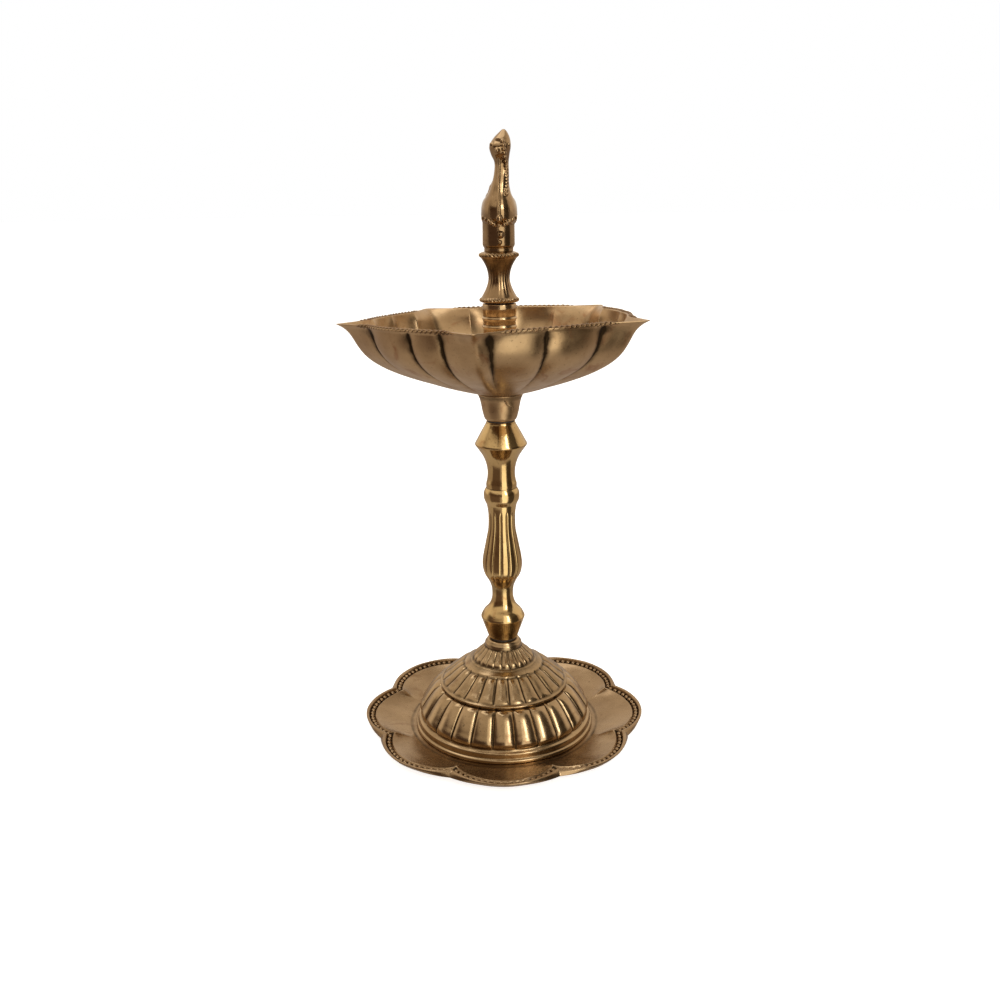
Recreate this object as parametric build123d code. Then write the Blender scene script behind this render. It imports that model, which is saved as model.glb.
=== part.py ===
from build123d import *
import math
import os

# Standing brass oil lamp, five wick spouts, bird finial. Units are millimetres.
# Origin: centre of the resting face. +Z is up, -Y is the front, the way the bird faces.

# ---- base tray ----
PETALS = 8
PETAL_TIP_R = 75.0        # axis to the outer end of a petal
PETAL_NOTCH_R = 67.7      # axis to the notch between two petals
TRAY_RIM_Z = 7.0          # top of the tray's raised edge
TRAY_EDGE_H = 2.6         # height of the tray's outer wall
FOOT_TIP_R = 72.9         # the same two radii at the foot of the outer wall
FOOT_NOTCH_R = 70.0
TRAY_UNDER_Z = 3.9        # underside of the tray next to the outer wall
TRAY_FLOOR_Z = 1.0        # floor of the tray round the dome
TRAY_FLOOR_R = 50.0       # flat part of the floor
TRAY_FOOT_R = 50.0        # flat underside that stands on the table
TRAY_LIP_W = 2.2          # width of the raised edge
TRAY_LIP_H = 1.0          # height of the raised edge above the bead band
TRAY_HOLE_R = 36.0        # opening under the dome

# ---- dome ----
DOME_FOOT_R = 47.6
DOME_FOOT_H = 2.0         # height of the foot ring
BAND_R = 46.4             # plain band above the foot ring
BAND_TOP_Z = 6.0
NECK_R = 44.7             # between the band and the lobes
NECK_Z = 6.9
BELLY_R = 45.7            # lower end of the lowest tier of lobes
BELLY_Z = 9.8
MIDDLE_R = 34.0           # lower edge of the middle tier
MIDDLE_Z = 25.3
CROWN_R = 17.2            # lower edge of the crown
CROWN_Z = 37.3
TIER_STEP = 1.0           # how far each tier's lower edge stands out
DOME_TOP_Z = 49.1
DOME_TOP_R = 8.2
DOME_WALL = 2.6
DOME_LOBES = 24
LOBE_CUT_R = 1.6          # radius of the grooves between lobes
NUT_SEAT_Z = 40.0         # flat inside the dome, above the nut's washer

# ---- stem ----
STEM_FOOT_Z = 50.3        # on top of the base washer
STEM_TOP_Z = 166.4
STEM_FOOT_R = 7.65
STEM_TOP_R = 7.3

# ---- bowl ----
SPOUTS = ((186.0, 78.3), (262.0, 78.9), (329.0, 79.4), (45.5, 78.9), (120.0, 78.9))  # direction, reach
GROOVES = (8, 31, 61, 83, 105, 135, 153, 171, 202, 231, 247, 267, 289.5, 316, 346)  # between lobes
BOWL_RIM_R = 63.9
BOWL_RIM_Z = 217.4
BOWL_FLOOR_Z = 180.6      # underside of the bowl at its centre
BOWL_SEAT_R = 11.0        # flat seat for the collar
BOWL_WALL = 2.2
BOWL_BANDS = 16           # bands that the wall is built from, seat to rim
WALL_ROUND = 2.75         # how full the wall's curve is
SPOUT_BELLY = 6.0         # how far a spout's lobe stands out low down
SPOUT_FLARE = 0.1         # share of the height over which a spout flares out
SPOUT_WIDTH = 7.8         # degrees, half width of a spout
SPOUT_TIP = 1.2           # degrees that the tip is rounded over
LOBE_DEPTH = 1.7
BOWL_LEAN = 1.9           # degrees that the hand-made bowl leans on its seat
LEAN_TOWARDS = 307.5      # direction in which its rim is high
LEAN_FULL = 0.1           # share of the height over which the lean sets in

# ---- collar under the bowl and hub inside it ----
COLLAR_FOOT_Z = 167.2
COLLAR_FOOT_R = 7.7
COLLAR_TOP_R = 11.6
HUB_R = 8.1
HUB_FOOT_Z = BOWL_FLOOR_Z + BOWL_WALL
HUB_TOP_Z = 224.2

# ---- finial ----
PEDESTAL_FOOT_Z = 224.8
PEDESTAL_TOP_Z = 248.4
ROPE_RING_R = 9.7
PEDESTAL_NECK_R = 5.15
DRUM_R = 7.7
DRUM_TOP_Z = 262.0
BIRD_TOP_Z = 303.3

# ---- screws ----
SCREW_R = 4.0             # base and bowl screws
SCREW_PITCH = 2.0
FINIAL_SCREW_R = 3.0
FINIAL_SCREW_PITCH = 1.5
THREAD_DEPTH = 0.5        # depth over pitch
RUNNING_GAP = 0.05        # radial clearance of each screw in its hole
SCREW_ENGAGED = 14.0      # length of screw inside the part it carries
HOLE_SPARE = 2.0          # hole left past the end of the screw
NUT_R = 7.5
NUT_H = 6.0
NUT_WASHER_R = 10.0
NUT_WASHER_H = 1.2
SEAL_R = 6.9
EPS = 0.01


def rz(r, z):
    """Point of a turned outline, in the XZ half plane."""
    return (r, 0, z)


def turned(*edges):
    """Solid of revolution about Z; the outline is closed down the axis."""
    start = edges[0] @ 0
    end = edges[-1] @ 1
    closing = Polyline(rz(end.X, end.Z), rz(0, end.Z), rz(0, start.Z), rz(start.X, start.Z))
    return revolve(make_face([*edges, closing]), Axis.Z, 360)


def rod(radius, low, high):
    """Plain cylinder on the axis."""
    return Pos(0, 0, low) * Cylinder(radius, high - low, align=(Align.CENTER, Align.CENTER, Align.MIN))


def ring(outer, inner, low, high):
    """Flat ring on the axis."""
    return rod(outer, low, high) - rod(inner, low - EPS, high + EPS)


def polar(r, angle, z=0.0):
    """Point at a radius and an angle in degrees."""
    return (r * math.cos(math.radians(angle)), r * math.sin(math.radians(angle)), z)


# ---------------------------------------------------------------- base tray

def petal_edge(inset=0.0, tip_r=PETAL_TIP_R, notch_r=PETAL_NOTCH_R):
    """Plan outline of the tray: one arc per petal, meeting in notches."""
    half = 180.0 / PETALS
    notch_x = notch_r * math.cos(math.radians(half))
    notch_y = notch_r * math.sin(math.radians(half))
    rise = tip_r - notch_x
    arc_r = (notch_y ** 2 + rise ** 2) / (2 * rise)
    centre = tip_r - arc_r
    r = arc_r - inset
    reach = math.tan(math.radians(half))
    # where the inset arc meets the line between two petals
    a = 1 + reach ** 2
    meet_x = (centre + math.sqrt(centre ** 2 - a * (centre ** 2 - r ** 2))) / a
    meet_r = meet_x / math.cos(math.radians(half))
    arcs = []
    for k in range(PETALS):
        mid = 360.0 * k / PETALS
        arcs.append(ThreePointArc(
            polar(meet_r, mid - half), polar(centre + r, mid), polar(meet_r, mid + half)))
    return make_face(arcs)


def make_tray():
    """Scalloped tray: dished floor, raised edge, open under the dome."""
    edge_low = TRAY_RIM_Z - TRAY_EDGE_H
    foot_edge = petal_edge(0.0, FOOT_TIP_R, FOOT_NOTCH_R)
    wall = loft([Pos(0, 0, edge_low) * foot_edge, Pos(0, 0, TRAY_RIM_Z) * petal_edge()])
    band_z = TRAY_RIM_Z - TRAY_LIP_H
    dish = turned(
        Line(rz(TRAY_FLOOR_R, TRAY_FLOOR_Z), rz(PETAL_TIP_R, band_z)),
        Line(rz(PETAL_TIP_R, band_z), rz(PETAL_TIP_R, TRAY_RIM_Z + 1)))
    pocket = extrude(Pos(0, 0, -1) * petal_edge(TRAY_LIP_W), TRAY_RIM_Z + 2)
    under = turned(
        Line(rz(TRAY_FOOT_R, 0), rz(FOOT_NOTCH_R, TRAY_UNDER_Z)),
        Line(rz(FOOT_NOTCH_R, TRAY_UNDER_Z), rz(FOOT_NOTCH_R, band_z)))
    under = under & extrude(petal_edge(TRAY_LIP_W), TRAY_RIM_Z)
    tray = wall + under
    tray = tray - (dish & pocket)
    tray = tray - rod(TRAY_HOLE_R, -1, TRAY_RIM_Z + 1)
    return tray


# ---------------------------------------------------------------- dome

def dome_grooves(count, phase, r_low, z_low, r_high, z_high):
    """Round grooves up the slope of a tier, between its lobes."""
    slope = math.degrees(math.atan2(z_high - z_low, r_low - r_high))
    length = math.hypot(r_low - r_high, z_high - z_low)
    middle = ((r_low + r_high) / 2, (z_low + z_high) / 2)
    cut = Cylinder(LOBE_CUT_R, length)
    lean = Location((middle[0], 0, middle[1])) * Rot(0, -(90 - slope), 0)
    return [Rot(0, 0, phase + 360.0 * k / count) * lean * cut for k in range(count)]


def make_dome():
    """Hollow dome in three lobed tiers on a stepped foot."""
    ring_z = TRAY_FLOOR_Z + DOME_FOOT_H
    outside = turned(
        Line(rz(DOME_FOOT_R, TRAY_FLOOR_Z), rz(DOME_FOOT_R, ring_z)),
        Line(rz(DOME_FOOT_R, ring_z), rz(BAND_R, ring_z + 0.3)),
        Line(rz(BAND_R, ring_z + 0.3), rz(BAND_R, BAND_TOP_Z)),
        Line(rz(BAND_R, BAND_TOP_Z), rz(NECK_R, NECK_Z)),
        Line(rz(NECK_R, NECK_Z), rz(BELLY_R, BELLY_Z)),
        Spline(rz(BELLY_R, BELLY_Z), rz(42.4, 15.5), rz(36.5, 22.0), rz(MIDDLE_R, MIDDLE_Z - 0.6)),
        Line(rz(MIDDLE_R, MIDDLE_Z - 0.6), rz(MIDDLE_R - TIER_STEP, MIDDLE_Z + 0.4)),
        Spline(rz(MIDDLE_R - TIER_STEP, MIDDLE_Z + 0.4), rz(26.0, 31.5), rz(CROWN_R, CROWN_Z - 0.6)),
        Line(rz(CROWN_R, CROWN_Z - 0.6), rz(CROWN_R - TIER_STEP, CROWN_Z + 0.4)),
        Spline(rz(CROWN_R - TIER_STEP, CROWN_Z + 0.4), rz(11.8, 43.0), rz(DOME_TOP_R + 1.0, 48.0)),
        Line(rz(DOME_TOP_R + 1.0, 48.0), rz(DOME_TOP_R, DOME_TOP_Z)))
    hollow_r = BELLY_R - DOME_WALL
    inside = turned(
        Line(rz(hollow_r, -1), rz(hollow_r, BELLY_Z)),
        Spline(rz(hollow_r, BELLY_Z), rz(38.5, 15.0), rz(29.5, 22.8), rz(16.0, 33.0),
               rz(NUT_WASHER_R + 1.5, NUT_SEAT_Z)))
    dome = outside - inside - rod(SCREW_R, 0, DOME_TOP_Z + 1)
    first = 90 + 180.0 / DOME_LOBES
    for groove in dome_grooves(DOME_LOBES, first, BELLY_R + 1.1, BELLY_Z, MIDDLE_R + 2.0, MIDDLE_Z - 1.5):
        dome = dome - groove
    return dome


# ---------------------------------------------------------------- screws

def make_screw(radius, pitch, low, high, thread_low, thread_high):
    """Stud with a helical groove between two heights; the crests keep the full radius."""
    chamfer_h = 0.6
    body = turned(
        Line(rz(radius - chamfer_h, low), rz(radius, low + chamfer_h)),
        Line(rz(radius, low + chamfer_h), rz(radius, high - chamfer_h)),
        Line(rz(radius, high - chamfer_h), rz(radius - chamfer_h, high)))
    depth = pitch * THREAD_DEPTH
    path = Pos(0, 0, thread_low) * Helix(pitch, thread_high - thread_low, radius)
    half = 0.42 * pitch
    z0 = thread_low
    tooth = make_face(Polyline(
        rz(radius - depth, z0), rz(radius + 0.3, z0 - half), rz(radius + 0.3, z0 + half),
        rz(radius - depth, z0)))
    groove = sweep(tooth, path=path, is_frenet=True)
    return body - groove


def make_nut():
    """Hexagon nut inside the dome."""
    top = NUT_SEAT_Z - NUT_WASHER_H
    hexagon = extrude(Pos(0, 0, top - NUT_H) * RegularPolygon(NUT_R, 6), NUT_H)
    return hexagon - rod(SCREW_R, top - NUT_H - 1, top + 1)


# ---------------------------------------------------------------- stem

def make_stem():
    """Turned stem with a blind screw hole in each end."""
    foot_r, foot_z = 11.45, 61.9
    top_r, top_z = 13.12, 154.9
    stem = turned(
        Line(rz(STEM_FOOT_R, STEM_FOOT_Z), rz(foot_r, foot_z)),
        Spline(rz(foot_r, foot_z), rz(8.1, 67.0), rz(5.95, 70.8), rz(5.45, 74.2), rz(5.9, 78.8),
               rz(8.28, 83.9), rz(10.33, 90.7), rz(8.9, 100.5), rz(7.1, 109.5), rz(6.85, 115.3),
               rz(7.6, 122.9)),
        ThreePointArc(rz(7.6, 122.9), rz(9.12, 128.1), rz(7.75, 132.8)),
        Line(rz(7.75, 132.8), rz(7.75, 134.4)),
        Spline(rz(7.75, 134.4), rz(6.95, 139.6), rz(7.8, 145.4), rz(10.1, 150.3), rz(top_r, top_z)),
        Line(rz(top_r, top_z), rz(STEM_TOP_R, 165.4)),
        Line(rz(STEM_TOP_R, 165.4), rz(STEM_TOP_R, STEM_TOP_Z)))
    hole_r = SCREW_R + RUNNING_GAP
    depth = SCREW_ENGAGED + HOLE_SPARE
    stem = stem - rod(hole_r, STEM_FOOT_Z - 1, STEM_FOOT_Z + depth)
    return stem - rod(hole_r, STEM_TOP_Z - depth, STEM_TOP_Z + 1)


# ---------------------------------------------------------------- bowl

def angle_between(a, b):
    """Signed angle from b to a, in degrees."""
    return (a - b + 180.0) % 360.0 - 180.0


def spout_share(level, reach):
    """How far a spout of that reach stands out of the wall at a level."""
    belly = SPOUT_BELLY * math.sin(min(1.0, level / 0.6) * math.pi / 2)
    flare = (reach - BOWL_RIM_R - SPOUT_BELLY) * math.exp((level - 1) / SPOUT_FLARE)
    return belly + flare


def lobe_edge(angle):
    """0 in the middle of a lobe, 1 in the groove beside it."""
    behind = min((angle - g) % 360.0 for g in GROOVES)
    ahead = min((g - angle) % 360.0 for g in GROOVES)
    return abs((behind - ahead) / (behind + ahead)) if behind + ahead > 0 else 1.0


def bowl_radius(angle, level, inset):
    """Radius of the bowl at an angle; level 0 is the seat, 1 the rim."""
    radius = BOWL_SEAT_R + (BOWL_RIM_R - BOWL_SEAT_R) * (1 - (1 - level) ** WALL_ROUND)
    for direction, reach in SPOUTS:
        off = math.hypot(angle_between(angle, direction), SPOUT_TIP) - SPOUT_TIP
        radius += spout_share(level, reach) * math.exp(-((off / SPOUT_WIDTH) ** 1.1))
    fade = math.sin(min(1.0, level / 0.3) * math.pi / 2)
    return radius - LOBE_DEPTH * fade * lobe_edge(angle) ** 3 - inset


def bowl_section(level, z, inset):
    """Closed outline of the bowl at one level, leaning as the bowl does."""
    lean = BOWL_LEAN * min(1.0, level / LEAN_FULL)
    points = [polar(bowl_radius(a, level, inset), a) for a in range(0, 360, 3)]
    section = Pos(0, 0, z - BOWL_FLOOR_Z) * make_face(Spline(*points, periodic=True))
    tip = Rot(0, 0, LEAN_TOWARDS) * Rot(0, -lean, 0) * Rot(0, 0, -LEAN_TOWARDS)
    return Pos(0, 0, BOWL_FLOOR_Z) * tip * section


def make_bowl():
    """Lobed bowl that flares into five wick spouts."""
    levels = [(k / BOWL_BANDS) ** 1.35 for k in range(BOWL_BANDS + 1)]
    rise = BOWL_RIM_Z - BOWL_FLOOR_Z
    outside = loft([bowl_section(s, BOWL_FLOOR_Z + s * rise, 0.0) for s in levels], ruled=True)
    inside = loft([bowl_section(s, BOWL_FLOOR_Z + BOWL_WALL + s * (rise - BOWL_WALL + EPS), BOWL_WALL)
                   for s in levels], ruled=True)
    return outside - inside - rod(SCREW_R, BOWL_FLOOR_Z - 1, BOWL_FLOOR_Z + BOWL_WALL + 1)


def make_collar():
    """Tapered collar under the bowl, drilled for the bowl screw."""
    collar = turned(
        Line(rz(COLLAR_FOOT_R, COLLAR_FOOT_Z), rz(9.3, 172.5)),
        Spline(rz(9.3, 172.5), rz(10.2, 177.0), rz(COLLAR_TOP_R, BOWL_FLOOR_Z)))
    return collar - rod(SCREW_R, COLLAR_FOOT_Z - 1, BOWL_FLOOR_Z + 1)


def make_hub():
    """Hub that stands in the bowl and carries the finial."""
    hub = turned(
        Line(rz(HUB_R + 0.5, HUB_FOOT_Z), rz(HUB_R, HUB_FOOT_Z + 2)),
        Line(rz(HUB_R, HUB_FOOT_Z + 2), rz(HUB_R, HUB_TOP_Z - 6)),
        ThreePointArc(rz(HUB_R, HUB_TOP_Z - 6), rz(HUB_R + 0.3, HUB_TOP_Z - 3), rz(HUB_R, HUB_TOP_Z)))
    depth = SCREW_ENGAGED + HOLE_SPARE
    return hub - rod(FINIAL_SCREW_R + RUNNING_GAP, HUB_TOP_Z - depth, HUB_TOP_Z + 1)


# ---------------------------------------------------------------- finial

def make_pedestal():
    """Waisted pedestal between two roped rings."""
    low, high = PEDESTAL_FOOT_Z, PEDESTAL_TOP_Z
    pedestal = turned(
        Line(rz(8.6, low), rz(8.6, low + 0.2)),
        ThreePointArc(rz(8.6, low + 0.2), rz(ROPE_RING_R, low + 1.1), rz(8.6, low + 2.0)),
        Spline(rz(8.6, low + 2.0), rz(6.2, low + 6.6), rz(PEDESTAL_NECK_R, low + 11.2),
               rz(6.2, low + 16.5), rz(8.7, low + 20.9)),
        ThreePointArc(rz(8.7, low + 20.9), rz(ROPE_RING_R, low + 22.2), rz(8.0, high)))
    return pedestal - rod(FINIAL_SCREW_R, low - 1, low + 10)


def oval(x, y, z, half_x, half_y):
    """Horizontal oval section of the bird."""
    return Pos(x, y, z) * make_face(Ellipse(half_x, half_y).edges())


def make_peacock():
    """Bird on its drum: body, neck, head with crest, and a raised tail."""
    drum = turned(
        Line(rz(7.0, PEDESTAL_TOP_Z), rz(7.0, 250.2)),
        Line(rz(7.0, 250.2), rz(DRUM_R, 251.0)),
        Line(rz(DRUM_R, 251.0), rz(DRUM_R, DRUM_TOP_Z + 2)))
    body = loft([
        oval(0.4, 1.5, 261.0, 7.6, 9.0),
        oval(0.4, 1.5, 263.0, 8.6, 12.0),
        oval(0.4, 1.0, 267.5, 8.55, 12.5),
        oval(0.4, 0.0, 271.5, 7.6, 10.0),
        oval(0.6, -1.5, 275.0, 5.7, 6.6),
        oval(1.1, -2.0, 279.0, 4.5, 4.8),
        oval(1.7, -1.0, 284.0, 3.6, 3.7),
        oval(1.7, 0.0, 289.0, 3.5, 3.5),
        oval(1.2, -0.8, 292.0, 4.4, 4.8),
        oval(1.1, -1.2, 295.5, 5.25, 5.6),
        oval(1.8, -0.2, 299.2, 3.9, 4.0),
        oval(2.8, 0.8, BIRD_TOP_Z, 0.6, 0.8)])
    tail = loft([
        oval(0, 10.0, 262.5, 6.5, 4.0),
        oval(0, 15.0, 269.0, 6.5, 3.2),
        oval(0, 18.5, 276.0, 5.0, 2.4),
        oval(0, 20.5, 282.0, 2.5, 1.2)])
    beak = Pos(0.0, -6.0, 293.8) * Rot(115, 0, -12) * Cone(1.9, 0.4, 6.0)
    return drum + body + tail + beak


# ---------------------------------------------------------------- parts

def make_parts():
    """Every piece of the lamp by name."""
    engaged = SCREW_ENGAGED
    nut_top = NUT_SEAT_Z - NUT_WASHER_H
    return {
        "base_tray": make_tray(),
        "base_dome": make_dome(),
        "base_screw": make_screw(
            SCREW_R, SCREW_PITCH, nut_top - NUT_H - 2, STEM_FOOT_Z + engaged,
            STEM_FOOT_Z + 1, STEM_FOOT_Z + engaged - 1.5),
        "base_nut": make_nut(),
        "base_nut_washer": ring(NUT_WASHER_R, SCREW_R, nut_top, NUT_SEAT_Z),
        "base_seal": ring(SEAL_R, SCREW_R + RUNNING_GAP, DOME_TOP_Z, STEM_FOOT_Z),
        "stem": make_stem(),
        "stem_seal": ring(SEAL_R, SCREW_R + RUNNING_GAP, STEM_TOP_Z, COLLAR_FOOT_Z),
        "bowl_collar": make_collar(),
        "bowl_screw": make_screw(
            SCREW_R, SCREW_PITCH, STEM_TOP_Z - engaged, BOWL_FLOOR_Z + BOWL_WALL,
            STEM_TOP_Z - engaged + 1.5, STEM_TOP_Z - 1),
        "bowl": make_bowl(),
        "bowl_hub": make_hub(),
        "finial_seal": ring(SEAL_R, FINIAL_SCREW_R + RUNNING_GAP, HUB_TOP_Z, PEDESTAL_FOOT_Z),
        "finial_screw": make_screw(
            FINIAL_SCREW_R, FINIAL_SCREW_PITCH, HUB_TOP_Z - engaged, PEDESTAL_FOOT_Z + 10,
            HUB_TOP_Z - engaged + 1.5, HUB_TOP_Z - 1),
        "finial_pedestal": make_pedestal(),
        "peacock": make_peacock(),
    }


os.makedirs("parts", exist_ok=True)
for name, solid in make_parts().items():
    export_step(solid, "parts/" + name + ".step")
    print(name, len(solid.solids()), round(solid.volume, 1))
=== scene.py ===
import math

import bpy
import numpy as np
from mathutils import Matrix, Vector, noise


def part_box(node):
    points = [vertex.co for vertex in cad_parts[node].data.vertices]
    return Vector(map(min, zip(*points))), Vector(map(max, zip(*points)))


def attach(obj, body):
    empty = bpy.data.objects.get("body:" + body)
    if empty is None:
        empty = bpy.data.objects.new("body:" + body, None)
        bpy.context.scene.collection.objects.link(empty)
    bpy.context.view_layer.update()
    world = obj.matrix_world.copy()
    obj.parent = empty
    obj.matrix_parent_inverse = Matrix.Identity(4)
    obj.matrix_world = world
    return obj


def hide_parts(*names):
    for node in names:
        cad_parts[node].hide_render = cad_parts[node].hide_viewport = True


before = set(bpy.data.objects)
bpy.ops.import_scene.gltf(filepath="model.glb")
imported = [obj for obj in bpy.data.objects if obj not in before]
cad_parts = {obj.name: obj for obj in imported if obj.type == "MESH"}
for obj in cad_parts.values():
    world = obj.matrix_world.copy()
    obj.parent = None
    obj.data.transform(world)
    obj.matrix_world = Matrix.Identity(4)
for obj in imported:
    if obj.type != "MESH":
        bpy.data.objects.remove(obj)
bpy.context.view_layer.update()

MM = 0.001
FULL_TURN = 2 * math.pi
THREAD_CLEARANCE = 0.05
SCREW_HOLE_DEPTH = 16


def z_range(node):
    """Lowest and highest z of a CAD node, in millimetres."""
    low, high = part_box(node)
    return low.z / MM, high.z / MM


TRAY_Z = z_range("base_tray")
DOME_Z = z_range("base_dome")
STEM_Z = z_range("stem")
COLLAR_Z = z_range("bowl_collar")
BOWL_Z = z_range("bowl")
HUB_Z = z_range("bowl_hub")
PEDESTAL_Z = z_range("finial_pedestal")
BIRD_Z = z_range("peacock")
TRAY_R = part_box("base_tray")[1].x / MM
SCREW_HOLE_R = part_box("base_screw")[1].x / MM + THREAD_CLEARANCE
FINIAL_HOLE_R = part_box("finial_screw")[1].x / MM + THREAD_CLEARANCE
STUD_R = 4.0
FINIAL_STUD_R = 3.0


# ------------------------------------------------------------------ mesh tools

def straight(*points, step=0.4):
    """Evenly spaced points on straight runs through (r, z) points."""
    out = []
    for a, b in zip(points, points[1:]):
        a, b = np.array(a, float), np.array(b, float)
        n = max(1, int(np.ceil(np.linalg.norm(b - a) / step)))
        out += [a + (b - a) * i / n for i in range(n)]
    return out + [np.array(points[-1], float)]


def curved(*points, step=0.4):
    """Closely spaced points on a smooth curve through (r, z) points."""
    p = np.array(points, float)
    ext = np.vstack([2 * p[0] - p[1], p, 2 * p[-1] - p[-2]])
    out = []
    for a, b, c, d in zip(ext, ext[1:], ext[2:], ext[3:]):
        ab, bc, cd = (np.linalg.norm(v) for v in (b - a, c - b, d - c))
        m1 = ((b - a) / ab * bc + (c - b) / bc * ab) / (ab + bc) * bc
        m2 = ((c - b) / bc * cd + (d - c) / cd * bc) / (bc + cd) * bc
        n = max(1, int(np.ceil(bc / step)))
        for i in range(n):
            t = i / n
            out.append(b * (2 * t ** 3 - 3 * t ** 2 + 1) + m1 * (t ** 3 - 2 * t ** 2 + t)
                       + c * (3 * t ** 2 - 2 * t ** 3) + m2 * (t ** 3 - t ** 2))
    return out + [p[-1]]


def softened(rows, rounds):
    """Rows with their corners rounded off; the first and the last row stay."""
    for _ in range(rounds):
        inner = (rows[:-2] + 2 * rows[1:-1] + rows[2:]) / 4
        rows = np.concatenate([rows[:1], inner, rows[-1:]])
    return rows


def outline(*runs, soften=1):
    """One (n, 2) array of r and z from several runs, with its corners softened."""
    rows = []
    for run in runs:
        for q in run:
            if not rows or np.linalg.norm(q - rows[-1]) > 1e-6:
                rows.append(q)
    return softened(np.array(rows), soften)


def smoothstep(low, high, x):
    """0 below low, 1 above high, smooth between them."""
    t = np.clip((x - low) / (high - low), 0, 1)
    return t * t * (3 - 2 * t)


def between(low, low_end, high, high_end, x):
    """1 from low_end to high, falling smoothly to 0 at low and at high_end."""
    return smoothstep(low, low_end, x) * (1 - smoothstep(high, high_end, x))


def mesh_values(items, name, kind=float, width=3):
    """One row of values for each vertex or edge."""
    values = np.empty(len(items) * width, kind)
    items.foreach_get(name, values)
    return values.reshape(-1, width)


def add_cavity(obj, rounds=10, dirt_and_shade=0):
    """Stores how far each vertex lies in a hollow (+) or on an edge (-), in millimetres."""
    mesh = obj.data
    n = len(mesh.vertices)
    co = mesh_values(mesh.vertices, "co")
    normal = mesh_values(mesh.vertices, "normal")
    a, b = mesh_values(mesh.edges, "vertices", int, 2).T
    count = np.bincount(a, minlength=n) + np.bincount(b, minlength=n)
    flat = co.copy()
    for _ in range(rounds):
        total = np.empty_like(flat)
        for k in range(3):
            total[:, k] = (np.bincount(a, flat[b, k], minlength=n)
                           + np.bincount(b, flat[a, k], minlength=n))
        flat = total / np.maximum(count, 1)[:, None]
    # extra depth given here darkens the hollows further in the brass: dirt and painted shade
    depth = ((flat - co) * normal).sum(1) / MM + dirt_and_shade
    layer = mesh.attributes.new("cavity", "FLOAT", "POINT")
    layer.data.foreach_set("value", depth.astype(np.float32))


def in_scene(name, data):
    """New object in the scene."""
    obj = bpy.data.objects.new(name, data)
    bpy.context.scene.collection.objects.link(obj)
    return obj


def raw_object(name, verts, faces):
    """Object from vertices in millimetres."""
    mesh = bpy.data.meshes.new(name)
    mesh.from_pydata((np.asarray(verts) * MM).tolist(), [], faces)
    mesh.update()
    return in_scene(name, mesh)


def mesh_object(name, verts, faces, rounds=10, dirt_and_shade=0):
    """Smooth object from vertices in millimetres; the last argument adds to the hollows' depth, painting them
    darker with dirt and painted shade.
    """
    obj = raw_object(name, verts, faces)
    obj.data.shade_smooth()
    add_cavity(obj, rounds, dirt_and_shade)
    return obj


def around(turns):
    """Evenly spaced angles in radians."""
    return np.arange(turns) * FULL_TURN / turns


def round_axis(r, z, angle):
    """Points at a radius and height for each angle."""
    return np.stack([r * np.cos(angle), r * np.sin(angle), np.broadcast_to(z, len(angle))], -1)


def even(count, phase=0.0):
    """Evenly spaced angles in degrees."""
    return [phase + 360.0 * k / count for k in range(count)]


def from_direction(angle, direction):
    """Angle from a direction, between minus and plus half a turn."""
    return (angle - direction + math.pi) % FULL_TURN - math.pi


def grid_faces(rows, turns, wrap):
    """Quads over rows of vertices that close round in each row, and from last row to first if wrap."""
    i = np.arange(rows if wrap else rows - 1)[:, None]
    j = np.arange(turns)[None, :]
    k = (i + 1) % rows
    m = (j + 1) % turns
    quads = np.stack([i * turns + j, i * turns + m, k * turns + m, k * turns + j], -1)
    return quads.reshape(-1, 4).tolist()


def end_fans(rows, turns):
    """Triangles from the first and last of the rows to two end points that follow them."""
    n = rows * turns
    last = n - turns
    return ([[n, (j + 1) % turns, j] for j in range(turns)]
            + [[n + 1, last + j, last + (j + 1) % turns] for j in range(turns)])


def lathe_parts(path, turns, shape=None):
    """Vertices and faces of a turned form; shape(r, z, angle) may change r and z."""
    on_axis = path[0][0] < 1e-9 and path[-1][0] < 1e-9
    body = path[1:-1] if on_axis else path
    angle = np.radians(even(turns))[None, :]
    r = np.repeat(body[:, :1], turns, 1)
    z = np.repeat(body[:, 1:], turns, 1)
    if shape:
        r, z = shape(r, z, np.repeat(angle, len(body), 0))
    verts = np.stack([r * np.cos(angle), r * np.sin(angle), z], -1).reshape(-1, 3)
    faces = grid_faces(len(body), turns, not on_axis)
    if on_axis:
        verts = np.vstack([verts, [[0, 0, path[0][1]], [0, 0, path[-1][1]]]])
        faces += end_fans(len(body), turns)
    return verts, faces


def lathe(name, path, turns, shape=None, rounds=10, dirt_and_shade=None):
    """Turned piece; the path runs up its outside, then back down its inside; the last argument, a function of
    z, deepens its hollows, painting them darker with dirt and painted shade.
    """
    verts, faces = lathe_parts(path, turns, shape)
    return mesh_object(name, verts, faces, rounds, dirt_and_shade(verts[:, 2]) if dirt_and_shade else 0)


def ball_form(rows, turns):
    """Vertices and faces of a ball with a radius of 1."""
    lat = np.radians(np.linspace(-90, 90, rows + 2)[1:-1])
    lon = np.radians(even(turns))
    verts = [(math.cos(b) * math.cos(a), math.cos(b) * math.sin(a), math.sin(b)) for b in lat for a in lon]
    faces = grid_faces(rows, turns, False) + end_fans(rows, turns)
    return np.array(verts + [(0, 0, -1), (0, 0, 1)]), faces


def ball(centre, size, lean=(0, 0, 0)):
    """Oval ball with half sizes along x, y and z, turned by lean in degrees."""
    unit, faces = ball_form(14, 24)
    turn = Matrix.Identity(3)
    for axis, deg in zip("XYZ", lean):
        turn = Matrix.Rotation(math.radians(deg), 3, axis) @ turn
    return (unit * size) @ np.array(turn).T + centre, faces


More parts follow.
